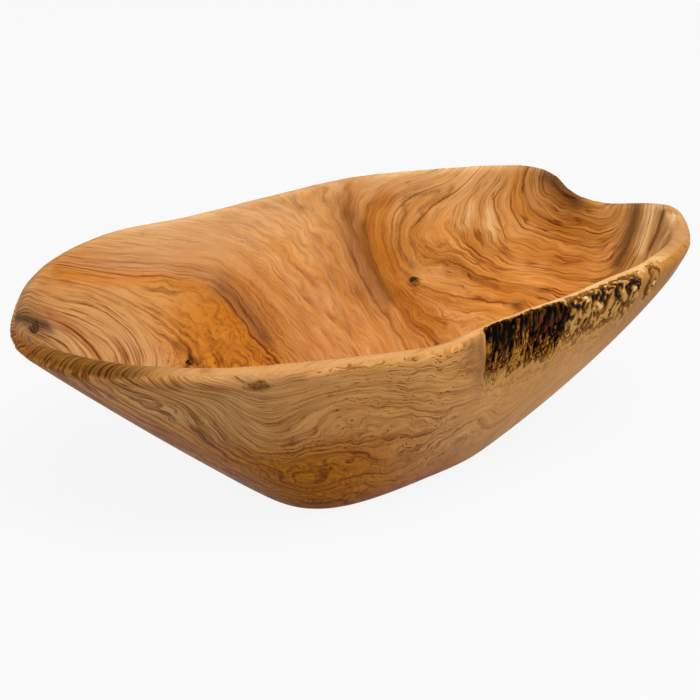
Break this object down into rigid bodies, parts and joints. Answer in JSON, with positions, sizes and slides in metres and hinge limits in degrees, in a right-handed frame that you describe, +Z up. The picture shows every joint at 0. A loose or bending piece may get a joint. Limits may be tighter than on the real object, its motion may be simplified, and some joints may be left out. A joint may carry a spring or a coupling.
{
  "type": "salad bowl",
  "caption": "Long uneven wooden salad bowl carved from one block, with a wavy rim, a flat base and bark left along one side of the rim.",
  "frame": {"origin": "centre of the flat base, on the surface that the bowl stands on", "axes": "+X along the bowl towards the end with the pointed lobe, +Z up out of the hollow"},
  "size_m": [0.3482, 0.1971, 0.1154],
  "materials": {
    "wood": "oiled olive wood, satin, with bold dark grain",
    "bark": "rough dark bark, matt",
    "crust": "thin broken bark over golden bast, matt",
    "knot": "dead knot wood, oiled, satin"
  },
  "bodies": {
    "root": {"bowl_body": "wood", "bark_plate_left": "bark", "bark_plate_middle": "bark", "bark_plate_right": "bark", "bark_crust": "crust", "bark_fleck": "crust", "pin_knot": "knot", "rim_knot": "knot", "bark_pocket": "knot", "wall_knot": "knot"}
  },
  "joints": []
}
